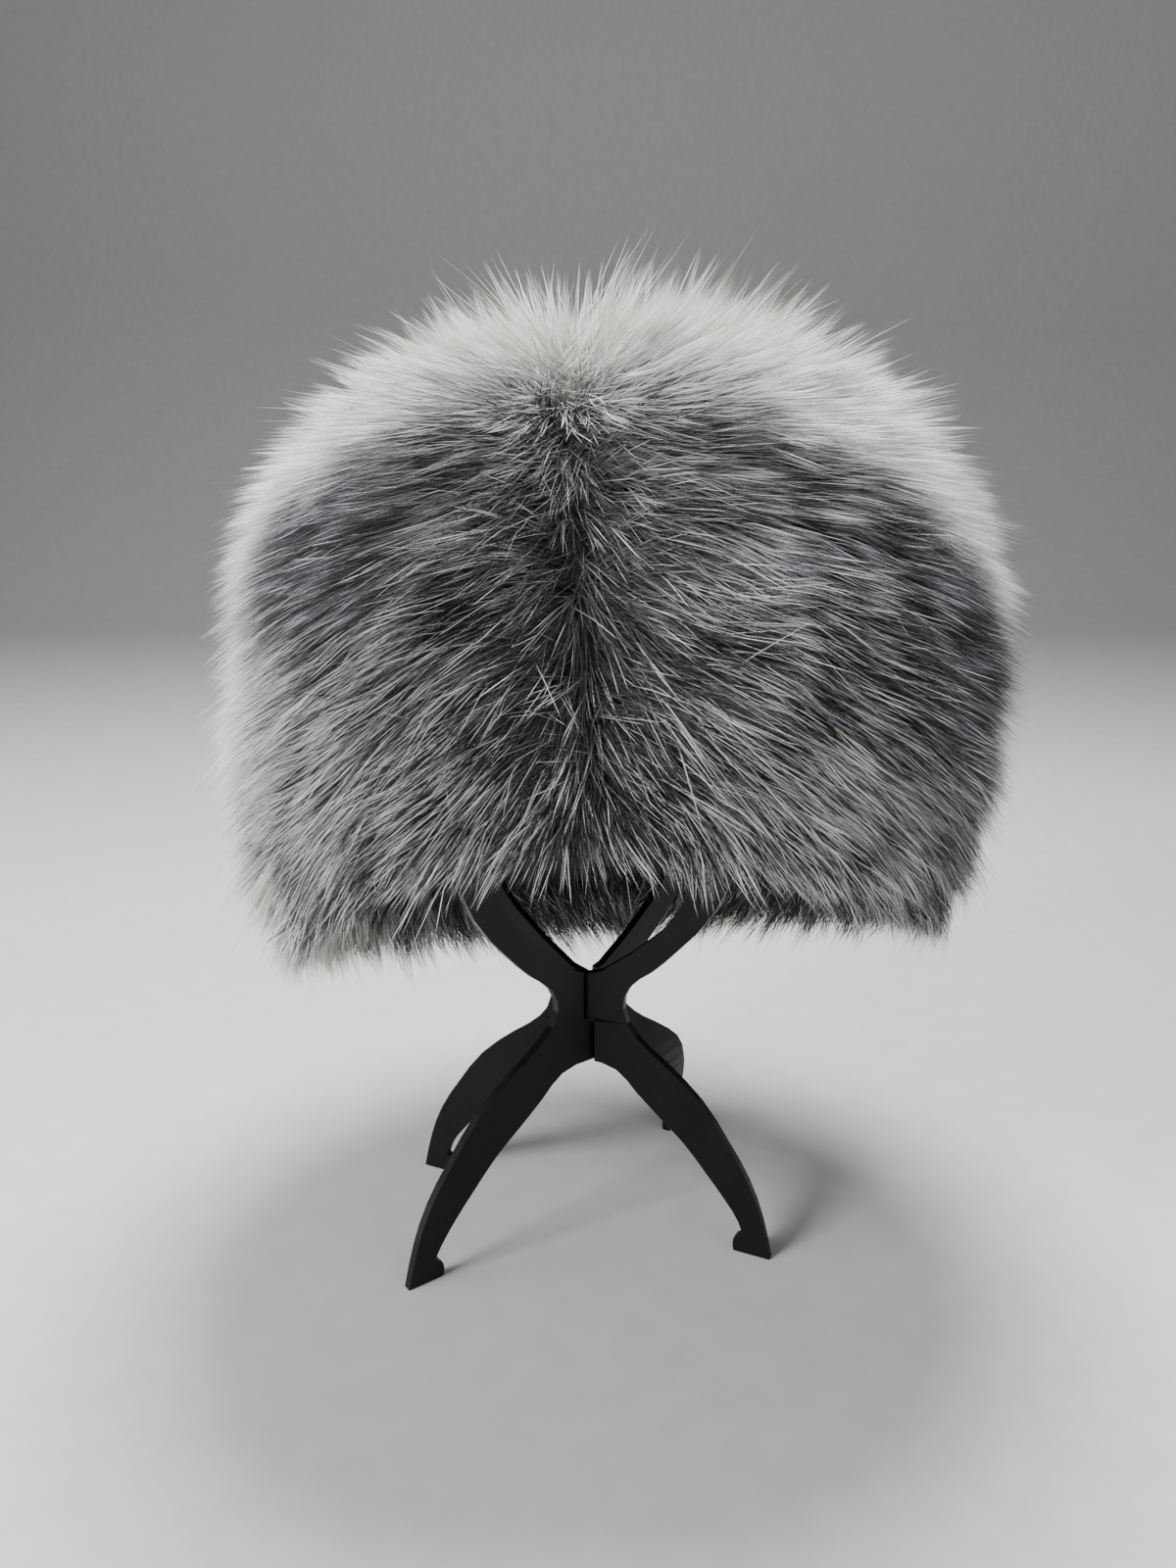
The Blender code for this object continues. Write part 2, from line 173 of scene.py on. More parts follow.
# How far the rim hangs at the ears, and by what share of that less at the middle of the back
EAR_DROP, NAPE_RISE = 0.024, 0.1
SKIN_WALL, SKIN_ROUNDNESS, SKIN_TUCK = 0.004, 2.5, 0.03
TILT_BACK, TILT_TO_LEFT, TURN_TO_LEFT = math.radians(20), math.radians(3), math.radians(6)
SKINS = ("front_skin", "back_skin", "crown_skin")
SUEDE_COLOURS = ((0.3, (0.055, 0.044, 0.037)), (0.7, (0.105, 0.086, 0.072)))
SUEDE_NAP, SUEDE_BLOTCH, SUEDE_RELIEF = 1400, 55, 0.0006


def suede():
    """Short nap with a blotchy tone and faint creases."""
    finish = Finish("suede", roughness=0.85, specular=0.2, sheen=0.3)
    nap = finish.noise(finish.here(), SUEDE_NAP, detail=2)
    blotch = finish.noise(finish.here(), SUEDE_BLOTCH, detail=5, roughness=0.65)
    finish.feed("Base Color", finish.ramp(blotch * 0.8 + nap * 0.2, SUEDE_COLOURS))
    finish.bump(nap + blotch * 3, SUEDE_RELIEF)
    return finish.material


for skin_name in SKINS:
    skin = bpy.data.objects[skin_name]
    skin.data.materials.clear()
    skin.data.materials.append(suede())


def rim_drop(angle):
    """How far the rim hangs below its front, which is arched over the face."""
    off_front = np.abs(np.remainder(angle + math.pi, 2 * math.pi) - math.pi)
    at_front = np.sin(off_front) ** 2
    at_back = 1 - NAPE_RISE * np.cos(off_front) ** 2
    return EAR_DROP * np.where(off_front < math.pi / 2, at_front, at_back)


def dome(angle, share, half_width, half_length, height, roundness, tuck, hang):
    """Points of a dome on the hat's own axes. Share 0 is its rim and 1 the middle of its crown."""
    up = share * math.pi / 2
    reach = np.maximum(np.cos(up), 0) ** (2 / roundness) * (1 - tuck * (1 - share) ** 4)
    rise = height * np.maximum(np.sin(up), 0) ** (2 / roundness)
    rise = rise - (rim_drop(angle) + hang) * (1 - share) ** 2
    across = half_width * reach * np.sin(angle)
    along = -half_length * reach * np.cos(angle)
    return np.stack([across, along, rise], axis=-1)


def skin_dome(angle, share, offset):
    return dome(
        angle,
        share,
        HEAD_WIDTH / 2 + offset,
        HEAD_LENGTH / 2 + offset,
        CROWN_DEPTH + offset,
        SKIN_ROUNDNESS,
        SKIN_TUCK,
        0.0,
    )


hat_turn = (
    Matrix.Rotation(-TILT_TO_LEFT, 3, "Y")
    @ Matrix.Rotation(-TILT_BACK, 3, "X")
    @ Matrix.Rotation(-TURN_TO_LEFT, 3, "Z")
)
HAT_AXES = np.array(hat_turn)


def hat_centre():
    """The middle of the rim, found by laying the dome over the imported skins' boxes."""
    angle, share = np.meshgrid(np.linspace(-math.pi, math.pi, 181), np.linspace(0, 1, 61))
    outside = skin_dome(angle.ravel(), share.ravel(), SKIN_WALL) @ HAT_AXES.T
    low = np.min([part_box(name)[0] for name in SKINS], axis=0)
    high = np.max([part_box(name)[1] for name in SKINS], axis=0)
    return (low + high - outside.min(0) - outside.max(0)) / 2


HAT_CENTRE = hat_centre()


def in_world(points):
    return points @ HAT_AXES.T + HAT_CENTRE


# The undercoat
# The dense grey wool of the fox, from which the long hairs stand. Three pelts are sewn together:
# front, back and crown. Each is a closed shell round its skin, turned in to the skin at the rim.

FUR_AT_LEFT, FUR_AT_RIGHT, FUR_AT_FRONT, FUR_AT_BACK = 0.049, 0.064, 0.042, 0.048
FUR_ON_TOP, FUR_BELOW_RIM = 0.032, 0.030
FUR_ROUNDNESS, FUR_TUCK = 2.5, 0.15
WOOL_WALL = 0.004
# How deep in the fur the wool ends, by share: 0 is the skin and 1 the dense fur's surface
WOOL_SHARES, WOOL_DEPTHS = (0.0, 0.40, 0.55, 0.75, 1.0), (0.93, 0.95, 0.88, 0.73, 0.64)
# The part of a panel's rows that turns in to the skin, and the depth that they start from
RIM_ROWS, RIM_DEPTH = 0.16, 0.05
# The share at which the fur's lower edge lies: nearly at the rim, but higher over the face
EDGE_SHARE, EDGE_SHARE_AT_FACE, FACE_ANGLE = 0.006, 0.026, math.radians(38)
# The wool's low tufts: height, how many lie round and up the hat, and how their rows sway
TUFT_HEIGHT, TUFTS_ROUND, TUFTS_UP = 0.0018, 41, 83
SWAY_ROUND, SWAYS_UP, SWAY_UP, SWAYS_ROUND = 3, 37, 2, 17
# The share at which the crown's seam lies, and how far down the crown's hair covers it
CROWN_SEAM = {"front": 0.52, "right": 0.36, "back": 0.42, "left": 0.46}
SEAM_COVER = 0.02
SIDE_SEAM_ANGLE = math.radians(100)
# Where the fur parts, by angles from the front and shares
PARTING_LOW, PARTING_HIGH = (math.radians(5), 0.07), (math.radians(2), 0.74)

FRONT_TONE, BACK_TONE, CROWN_TONE, DARKEST_TONE = 0.47, 0.45, 0.95, 0.02
# The share at which the pale fur starts, and over how much of a share it does
PALE_FROM = {"front": 0.465, "right": 0.315, "back": 0.36, "left": 0.37}
PALE_FADE = {"front": 0.06, "right": 0.05, "back": 0.34, "left": 0.10}
# Lighter and darker fur, and one patch of painted light low at the front right. Columns: middle as
# degrees from the front and share, spread as degrees and share, how far the middle line leans in
# degrees per share, and the change of tone.
PATCHES = (
    (-76, 0.22, 32, 0.28, 0, 0.66),
    (66, 0.245, 21, 0.06, 0, -0.38),
    (4, 0.52, 26, 0.07, 0, -0.12),
    (4, 0.17, 6, 0.11, 0, -0.25),
    (10, 0.05, 7, 0.04, 0, -0.12),
    # Painted light: this patch lightens the fur low at the front right, as a lamp in front would
    (34, 0.04, 36, 0.07, 0, 0.12),
    (-22, 0.31, 20, 0.08, 0, -0.12),
    (-8, 0.40, 60, 0.11, 0, -0.29),
)


def fur_dome(angle, share):
    """The surface of the dense fur, without its locks."""
    to_right = (1 + np.sin(angle)) / 2
    to_front = (1 + np.cos(angle)) / 2
    return dome(
        angle,
        share,
        HEAD_WIDTH / 2 + SKIN_WALL + FUR_AT_LEFT + (FUR_AT_RIGHT - FUR_AT_LEFT) * to_right,
        HEAD_LENGTH / 2 + SKIN_WALL + FUR_AT_BACK + (FUR_AT_FRONT - FUR_AT_BACK) * to_front,
        CROWN_DEPTH + SKIN_WALL + FUR_ON_TOP,
        FUR_ROUNDNESS,
        FUR_TUCK,
        FUR_BELOW_RIM,
    )


def in_fur(angle, share, depth):
    """Places in the fur: depth 0 is the skin and 1 the dense fur's surface."""
    skin = skin_dome(angle, share, SKIN_WALL)
    return skin + (fur_dome(angle, share) - skin) * np.asarray(depth)[..., None]


def unit(vectors):
    return vectors / np.maximum(np.linalg.norm(vectors, axis=-1, keepdims=True), 1e-9)


def wool_depth(share):
    return np.interp(share, WOOL_SHARES, WOOL_DEPTHS)


def lower_edge(angle):
    at_face = np.exp(-((angle / FACE_ANGLE) ** 2))
    return EDGE_SHARE + (EDGE_SHARE_AT_FACE - EDGE_SHARE) * at_face


def outward(angle, share):
    """The dense fur's outward direction."""
    step = 1e-3
    low = np.clip(share - step, 0, 1 - 3 * step)
    up = fur_dome(angle, low + 2 * step) - fur_dome(angle, low)
    around = fur_dome(angle + step, low) - fur_dome(angle - step, low)
    return unit(np.cross(around, up))


def round_hat(angle, quarters):
    """A value that is known at the four sides, eased from one to the next between them."""
    stops = np.array([quarters[side] for side in ("front", "right", "back", "left", "front")])
    turn = np.remainder(angle / (math.pi / 2), 4)
    quarter = np.minimum(turn.astype(int), 3)
    ease = (1 - np.cos((turn - quarter) * math.pi)) / 2
    return stops[quarter] * (1 - ease) + stops[quarter + 1] * ease


def crown_seam(angle):
    return round_hat(angle, CROWN_SEAM)


def turned_by(angle, middle):
    """The signed angle from a middle, within half a turn."""
    return np.remainder(angle - middle + math.pi, 2 * math.pi) - math.pi


def fur_tone(angle, share):
    """How pale the fur is, with painted light low at the front right: 0 nearly black, 0.5 silver and 1
    white.
    """
    tone = np.where(np.abs(turned_by(angle, 0)) < SIDE_SEAM_ANGLE, FRONT_TONE, BACK_TONE)
    above = share - round_hat(angle, PALE_FROM)
    pale = np.clip(above / round_hat(angle, PALE_FADE) + 0.5, 0, 1)
    pale = pale * pale * (3 - 2 * pale)
    tone = tone + (CROWN_TONE - tone) * pale
    for middle, up, wide, tall, lean, change in PATCHES:
        along = (share - up) / tall
        across = np.degrees(turned_by(angle, np.radians(middle + lean * (share - up)))) / wide
        tone = tone + change * np.exp(-(across**2 + along**2))
    return np.clip(tone, DARKEST_TONE, 1.0)


# Colours from root to tip, for the darkest, the silver and the white hairs
DARK_HAIR = (
    (0.0, (0.005, 0.0045, 0.005)),
    (0.5, (0.014, 0.0125, 0.013)),
    (1.0, (0.007, 0.0055, 0.0045)),
)
SILVER_HAIR = (
    (0.0, (0.006, 0.0055, 0.0065)),
    (0.36, (0.020, 0.019, 0.023)),
    (0.56, (0.105, 0.102, 0.117)),
    (0.69, (0.650, 0.650, 0.740)),
    (0.85, (0.845, 0.843, 0.930)),
    (0.94, (0.030, 0.024, 0.020)),
    (1.0, (0.016, 0.012, 0.009)),
)
WHITE_HAIR = (
    (0.0, (0.320, 0.312, 0.305)),
    (0.30, (0.620, 0.610, 0.585)),
    (0.60, (0.880, 0.870, 0.830)),
    (0.90, (0.930, 0.920, 0.880)),
    (1.0, (0.450, 0.410, 0.360)),
)
# How far up a hair the wool's colour is taken from, and how its strands and tufts change that
WOOL_PLACE, STRANDS_ALONG, TUFTS_ALONG, STRANDS_TONE = 0.24, 0.25, 0.35, 0.3
WOOL_STRANDS, WOOL_TUFTS, WOOL_RELIEF = 420, 75, 0.0015


def hair_colour(finish, tone, along):
    """The colour at a place from root to tip of a hair of some tone."""
    dark, silver, white = (
        finish.ramp(along, stops) for stops in (DARK_HAIR, SILVER_HAIR, WHITE_HAIR)
    )
    lower = finish.blend((tone * 2).clamped(), dark, silver)
    return finish.blend((tone * 2 - 1).clamped(), lower, white)


def wool():
    """The undercoat: hair roots of the tone that the surface carries, with fine strands in it."""
    finish = Finish("wool", roughness=0.9, specular=0.1, sheen=0.2)
    carried = finish.node("ShaderNodeAttribute", {"attribute_name": "tone"}, {}).outputs["Fac"]
    strands = finish.noise(finish.here(), WOOL_STRANDS, detail=4, roughness=0.7)
    tufts = finish.noise(finish.here(), WOOL_TUFTS, detail=3)
    tone = Tone(finish, carried) + strands * STRANDS_TONE - STRANDS_TONE / 2
    mean_along = (STRANDS_ALONG + TUFTS_ALONG) / 2
    along = tufts * TUFTS_ALONG + strands * STRANDS_ALONG + (WOOL_PLACE - mean_along)
    finish.feed("Base Color", hair_colour(finish, tone, along))
    finish.bump(strands + tufts * 3, WOOL_RELIEF)
    return finish.material


def tufted(angle, share):
    """The wool's low tufts, between -1 in the hollows and 1 on the tops."""
    round_the_hat = np.sin(angle * TUFTS_ROUND + SWAY_ROUND * np.sin(share * SWAYS_UP))
    return round_the_hat * np.sin(share * TUFTS_UP + SWAY_UP * np.sin(angle * SWAYS_ROUND))


def add_undercoat(name, columns, rows, place, node):
    """A pelt's wool, from a flat grid laid over the dome and given a wall inwards."""
    bpy.ops.object.select_all(action="DESELECT")
    bpy.ops.mesh.primitive_grid_add(x_subdivisions=columns, y_subdivisions=rows, size=2)
    pelt = bpy.context.active_object
    pelt.name = name
    flat = np.empty(len(pelt.data.vertices) * 3)
    pelt.data.vertices.foreach_get("co", flat)
    flat = flat.reshape(-1, 3)
    angle, share, depth = place(flat[:, 0], flat[:, 1])
    height = TUFT_HEIGHT * tufted(angle, share) * (share > 0)
    surface = in_fur(angle, share, depth) + outward(angle, share) * height[:, None]
    pelt.data.vertices.foreach_set("co", in_world(surface).ravel())
    tone = pelt.data.attributes.new("tone", "FLOAT", "POINT")
    tone.data.foreach_set("value", fur_tone(angle, share))
    pelt.data.update()
    middle = pelt.data.polygons[len(pelt.data.polygons) // 2]
    if middle.normal.dot(middle.center - Vector(HAT_CENTRE)) < 0:
        pelt.data.flip_normals()
    wall = pelt.modifiers.new("wall", "SOLIDIFY")
    wall.thickness = WOOL_WALL
    wall.offset = -1
    bpy.ops.object.modifier_apply(modifier="wall")
    bpy.ops.object.shade_smooth()
    pelt.data.materials.append(wool())
    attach(pelt, "root")
    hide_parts(node)


def band_place(across, along, middle, half_turn):
    """Where on a panel below the crown's seam a place in a square from -1 to 1 lies."""
    angle = middle + across * half_turn
    up = (along + 1) / 2
    edge = lower_edge(angle)
    share = edge + (crown_seam(angle) - edge) * np.clip((up - RIM_ROWS) / (1 - RIM_ROWS), 0, 1)
    depth = wool_depth(share) * np.clip(RIM_DEPTH + up / RIM_ROWS, 0, 1)
    return angle, share, depth


def crown_place(across, along):
    """Where on the crown a place in a square from -1 to 1 lies."""
    x = across * np.sqrt(1 - along**2 / 2)
    y = along * np.sqrt(1 - across**2 / 2)
    angle = np.arctan2(x, -y)
    share = 1 - (1 - crown_seam(angle)) * np.hypot(x, y)
    return angle, share, wool_depth(share)


def front_place(across, along):
    return band_place(across, along, 0.0, SIDE_SEAM_ANGLE)


def back_place(across, along):
    return band_place(across, along, math.pi, math.pi - SIDE_SEAM_ANGLE)


# Piece, columns and rows of its grid, where the grid lies, and its pelt
UNDERCOATS = (
    ("front_undercoat", 100, 50, front_place, "front_pelt"),
    ("back_undercoat", 80, 50, back_place, "back_pelt"),
    ("crown_undercoat", 64, 64, crown_place, "crown_pelt"),
)

for name, columns, rows, place, pelt_name in UNDERCOATS:
    add_undercoat(name, columns, rows, place, pelt_name)

# The guard hair
# The long hairs of the fox, dark at the root, banded with silver and tipped with white or black.
# They lie away from the parting down the front, hang at the rim and stand up in tufts on the crown.

rng = np.random.default_rng(11)

HAIR_JOINTS = 3
# How strongly the fur hangs down at the rim, and how fast that fades up the hat
HANG, HANG_FADE = 1.1, 2.2
# The hair at the parting: how far off the line it is tangled, how far its tufts stray to the other
# side, its length as a share of that beside it, and how close to the line its way still turns
PARTING_WIDTH, PARTING_STRAYS, PARTING_LENGTH = 0.016, 0.0028, 0.58
PARTING_EASE, PARTING_POINTS = PARTING_WIDTH / 8, 50


def nearest_on_parting(points):
    angle, share = np.linspace(PARTING_LOW, PARTING_HIGH, PARTING_POINTS).T
    line = fur_dome(angle, share)
    gaps = np.linalg.norm(points[:, None] - line, axis=2)
    return line[np.argmin(gaps, axis=1)]


def flow(points, normal, share):
    """The way the fur lies on the surface: away from the parting and downwards."""
    away = points - nearest_on_parting(points)
    away = away - normal * np.sum(away * normal, axis=1, keepdims=True)
    away = away / np.maximum(np.linalg.norm(away, axis=1, keepdims=True), PARTING_EASE)
    down = np.array([0, 0, -1.0]) * (HANG * (1 - share) ** HANG_FADE)[:, None]
    way = away + down
    return unit(way - normal * np.sum(way * normal, axis=1, keepdims=True))


# Waves that cross at unlike angles: how many, and how their headings, rises and starts go on
DRIFT_WAVES, DRIFT_TURN, DRIFT_RISE, DRIFT_STEP, DRIFT_START = 6, 2.4, 1.7, 1.3, 5


def drift(points, wavelength, start):
    """Smooth unevenness between about -1 and 1."""
    total = np.zeros(len(points))
    for step in range(DRIFT_WAVES):
        heading = start + DRIFT_TURN * step
        rise = math.sin(DRIFT_RISE * heading + 1)
        wave = np.array([math.cos(heading), math.sin(heading), rise])
        phase = DRIFT_STEP * step + DRIFT_START * start
        total += np.sin(points @ wave * (2 * math.pi / wavelength) + phase)
    return total / 3


# Fractions whose multiples never bunch up, and how many more places are tried than are kept
EVEN_UP, EVEN_ROUND, TRIES = 0.7548776662, 0.5698402910, 12
# Steps up and round the dome that its area is measured in
STEPS_UP, STEPS_ROUND = 400, 73


def even_places(count, within):
    """Angles and shares spread evenly over the dome's area, as many as a panel takes."""
    shares = np.linspace(0, 1, STEPS_UP)
    grid_angle, grid_share = np.meshgrid(np.linspace(-math.pi, math.pi, STEPS_ROUND), shares)
    ring = fur_dome(grid_angle, grid_share)
    along = np.linalg.norm(np.gradient(ring, axis=0), axis=2)
    around = np.linalg.norm(np.gradient(ring, axis=1), axis=2)
    total = np.cumsum((along * around).sum(axis=1))
    step = np.arange(count * TRIES)
    share = np.interp(np.remainder(step * EVEN_UP, 1) * total[-1], total, shares)
    angle = (np.remainder(step * EVEN_ROUND, 1) * 2 - 1) * math.pi
    kept = within(angle, share) & (share > lower_edge(angle))
    return angle[kept][:count], share[kept][:count]


def turn_about(vectors, axis, turn):
    """Vectors turned about an axis, each by its own angle."""
    cos, sin = np.cos(turn)[:, None], np.sin(turn)[:, None]
    lean = np.sum(axis * vectors, axis=1, keepdims=True) * (1 - cos)
    return vectors * cos + np.cross(axis, vectors) * sin + axis * lean


# How far tufts turn from the flow, in radians: all together in slow waves, and each on its own.
# Near the parting, by share, they stray and turn more
WAY_DRIFT, WAY_WAVE, WAY_UNEVEN = 0.22, 0.042, 0.13
STRAY_SHARES, STRAY_PARTS = (0.20, 0.40), (0.4, 1.0)
UNRULY_SHARES, UNRULY_PARTS = (0.20, 0.50), (1.2, 6.0)


def tuft_ways(share, middle, normal, tangle):
    """The way each tuft lies along the surface."""
    tufts = len(share)
    astray = rng.normal(0, PARTING_STRAYS, (tufts, 3))
    way = flow(middle + astray * np.interp(share, STRAY_SHARES, STRAY_PARTS)[:, None], normal, share)
    unruly = tangle * np.interp(share, UNRULY_SHARES, UNRULY_PARTS)
    turn = WAY_DRIFT * drift(middle, WAY_WAVE, 1.0)
    turn = turn + rng.normal(0, WAY_UNEVEN, tufts) * (1 + unruly)
    return turn_about(way, normal, turn)


# Lift off the surface in degrees, at the root and at the tip, by share
SHARES = (0.0, 0.12, 0.40, 0.55, 0.75, 1.0)
ROOT_LIFT = (50, 42, 38, 48, 70, 72)
TIP_LIFT = (-8, 4, 10, 28, 56, 60)
# How much more tufts lift: in slow waves, each on its own, at the parting, at the sides above
# some share, and at the sides near the rim
LIFT_DRIFT, LIFT_WAVE, LIFT_UNEVEN, LIFT_AT_PARTING = 7, 0.030, 4, -8
SIDE_LIFT, SIDE_LIFT_FROM = 12, 0.04
LIFT_BELOW_LEFT, LIFT_BELOW_RIGHT = 9, -14
BELOW_SHARES, BELOW_PARTS = (0.0, 0.10, 0.26), (1.0, 1.0, 0.0)


def tuft_lifts(angle, share, middle, tangle):
    """How many degrees more each tuft lifts than its place gives."""
    more = LIFT_DRIFT * drift(middle, LIFT_WAVE, 2.0)
    more = more + rng.normal(0, LIFT_UNEVEN, len(share)) + LIFT_AT_PARTING * tangle
    more = more + SIDE_LIFT * np.sin(angle) ** 2 * (share > SIDE_LIFT_FROM)
    below = np.where(angle < 0, LIFT_BELOW_LEFT, LIFT_BELOW_RIGHT)
    below = below * np.interp(share, BELOW_SHARES, BELOW_PARTS)
    return more + below * np.sin(angle) ** 2


# Length by share, and what is added as shares of it: slow waves, and by share how uneven the tufts
# are. Above the top's share most are short, a few are long, and none goes past a limit
LENGTH = (0.034, 0.045, 0.045, 0.053, 0.069, 0.074)
LENGTH_DRIFT, LENGTH_WAVE = 0.08, 0.035
UNEVEN_SHARES, UNEVEN_LENGTH = (0.03, 0.08, 0.5, 0.6), (0.25, 0.08, 0.08, 0.11)
TOP_SHARE, UNEVEN_ON_TOP, LONGEST_ON_TOP = 0.6, 0.17, 0.10
MOSTLY_SHARES, MOSTLY = (0.5, 0.7), (0.0, -0.20)
SHORTEST, LONGEST = -0.4, 0.35
SHORT_PARTING_SHARES, SHORT_PARTING = (0.55, 0.75), (1.0, 0.0)
LONGER_AT_LEFT, LONGER_AT_RIGHT = 0.10, 0.28
LONGER_BELOW_LEFT, LONGER_BELOW_RIGHT = 0.30, -0.45
BELOW_LEFT_PARTS, BELOW_RIGHT_PARTS = (0.3, 1.0, 0.0), (1.0, 0.2, 0.0)


def tuft_lengths(angle, share, middle, tangle):
    """Each tuft's length, as a share of the length that its place gives."""
    on_top = share > TOP_SHARE
    uneven = np.where(on_top, UNEVEN_ON_TOP, np.interp(share, UNEVEN_SHARES, UNEVEN_LENGTH))
    own = rng.normal(np.interp(share, MOSTLY_SHARES, MOSTLY), uneven)
    longer = 1 + LENGTH_DRIFT * drift(middle, LENGTH_WAVE, 4.0)
    longer = longer + np.clip(own, SHORTEST, np.where(on_top, LONGEST_ON_TOP, LONGEST))
    at_parting = tangle * np.interp(share, SHORT_PARTING_SHARES, SHORT_PARTING)
    longer = longer * (1 - (1 - PARTING_LENGTH) * at_parting)
    at_side = np.where(angle < 0, LONGER_AT_LEFT, LONGER_AT_RIGHT)
    below_left = LONGER_BELOW_LEFT * np.interp(share, BELOW_SHARES, BELOW_LEFT_PARTS)
    below_right = LONGER_BELOW_RIGHT * np.interp(share, BELOW_SHARES, BELOW_RIGHT_PARTS)
    at_side = at_side + np.where(angle < 0, below_left, below_right)
    return longer + at_side * np.sin(angle) ** 2


# The least distance from the hat's own axis that roots are spread round it by, how far up the dome
# a whole share reaches, the topmost share, and how uneven the roots' depth is
LEAST_GIRTH, SHARE_REACH, TOPMOST, DEPTH_UNEVEN = 0.03, 0.24, 0.995, 0.03


def plant(angle, share, depth, middle, each, tuft_width):
    """Roots of the hairs in each tuft, and how far from its middle each stands, from 0 to 1."""
    count = len(each)
    off_middle = np.sqrt(rng.random(count))
    spread = off_middle * tuft_width / 2
    bearing = rng.uniform(0, 2 * math.pi, count)
    girth = np.maximum(np.linalg.norm(middle[each][:, :2], axis=1), LEAST_GIRTH)
    root_angle = angle[each] + spread * np.cos(bearing) / girth
    root_share = np.clip(share[each] + spread * np.sin(bearing) / SHARE_REACH, 0.0, TOPMOST)
    root = in_fur(root_angle, root_share, depth[each] + rng.normal(0, DEPTH_UNEVEN, count))
    return root_angle, root_share, root, off_middle


# At the lower left the fur folds under itself along a line: where it is in degrees and share,
# how far it leans in degrees per share, how wide and tall it is, and how much shorter its hair is.
# On the fold the hairs are also darkened toward black, as painted shade in the crease
FOLD, FOLD_LEAN, FOLD_WIDE, FOLD_TALL, FOLD_SHORTER = (-54, 0.10), -150, 8, 0.08, 0.65


def folded(angle, share):
    """1 on the fold at the lower left, 0 away from it: there the hair is shorter, and darkened as painted
    shade.
    """
    up = share - FOLD[1]
    across = (np.degrees(angle) - FOLD[0] - FOLD_LEAN * up) / FOLD_WIDE
    return np.exp(-(across**2) - (up / FOLD_TALL) ** 2)


# In fur of some tone: the part of the hairs that is light, and how light the middling ones are
TONES = (0.0, 0.47, 0.85, 1.0)
LIGHT_PARTS = (0.01, 0.175, 0.95, 1.0)
MIDDLING = (0.0, 0.15, 0.75, 1.0)
# A light hair's least tone, a dark one's most, and by share how far hairs are from middling
LEAST_LIGHT, MOST_DARK = 0.46, 0.04
UNLIKE = (1.0, 1.0, 0.60, 0.3, 0.9, 1.0)
SHARE_UNEVEN, TONE_UNEVEN = 0.012, 0.05
# How tufts differ in tone: in slow waves, and each on its own
TONE_DRIFT, TONE_WAVE, TUFT_TONE_UNEVEN = 0.05, 0.026, 0.06


def hair_tones(root_angle, root_share, tone_more):
    """Which hairs are light, and the tone of each."""
    count = len(root_angle)
    tone = fur_tone(root_angle, root_share + rng.normal(0, SHARE_UNEVEN, count))
    # Painted shade: hairs on the fold are darkened toward black, as the shade in the crease
    tone = tone * (1 - folded(root_angle, root_share))
    light = rng.random(count) < np.interp(tone, TONES, LIGHT_PARTS)
    own_tone = np.where(light, LEAST_LIGHT + (1 - LEAST_LIGHT) * tone, MOST_DARK * tone)
    middling = np.interp(tone, TONES, MIDDLING)
    tone = middling + (own_tone - middling) * np.interp(root_share, SHARES, UNLIKE)
    return light, tone + tone_more + rng.normal(0, TONE_UNEVEN, count)


# Toward a tuft's edge its hairs are shorter, by share and unevenly. Dark hairs are a little shorter
SHORTER_SHARES, SHORTER_PARTS = (0.03, 0.10, 0.45, 0.70), (0.75, 0.38, 0.36, 0.90)
LENGTH_IN_MIDDLE, SHORTER_UNEVEN, DARK_LENGTH = 1.1, (0.6, 1.1), 0.9


def hair_lengths(share, off_middle, light, fold):
    """Two factors of each hair's length: for its place in its tuft, and for its kind."""
    shorter = np.interp(share, SHORTER_SHARES, SHORTER_PARTS)
    in_tuft = LENGTH_IN_MIDDLE - shorter * off_middle * rng.uniform(*SHORTER_UNEVEN, len(share))
    return in_tuft, np.where(light, 1.0, DARK_LENGTH) * (1 - FOLD_SHORTER * fold)


def grow(root, way, normal, long, lift_root, lift_tip):
    """Joints of hairs that start out at one lift and end at another."""
    joints = [root]
    for step in range(1, HAIR_JOINTS):
        part = (step - 0.5) / (HAIR_JOINTS - 1)
        lift = np.radians(lift_root + (lift_tip - lift_root) * part)[:, None]
        heading = way * np.cos(lift) + normal * np.sin(lift)
        joints.append(joints[-1] + heading * (long / (HAIR_JOINTS - 1))[:, None])
    return np.stack(joints, axis=1)


# How far a tuft's hairs close to a point, from its least to its most, less so at the parting, and
# for stray hairs. How the closing grows along a hair
GATHER_SPREAD, GATHER_LOST_AT_PARTING, STRAY_GATHER, GATHER_GROWTH = 0.4, 0.85, 0.2, 1.2
# The part of the hairs that is stray, and how far hairs and strays turn from their tuft, in radians
STRAYS, YAW, STRAY_YAW, YAW_AT_PARTING = 0.025, 0.09, 0.45, 2
HAIR_LIFT_UNEVEN, RIBBON_TWIST = 5, 0.35
# The part of the hairs with dark tips, more of them at the sides below some share. The others end
# within the silver band
DARK_TIPS, DARK_TIPS_AT_SIDES, DARK_SIDES_BELOW = 0.40, 0.85, 0.42
DARK_SIDE_ANGLES, SILVER_ENDS = (74, 90), (0.74, 0.86)
LEAST_TONE, MOST_TONE = 0.01, 0.99


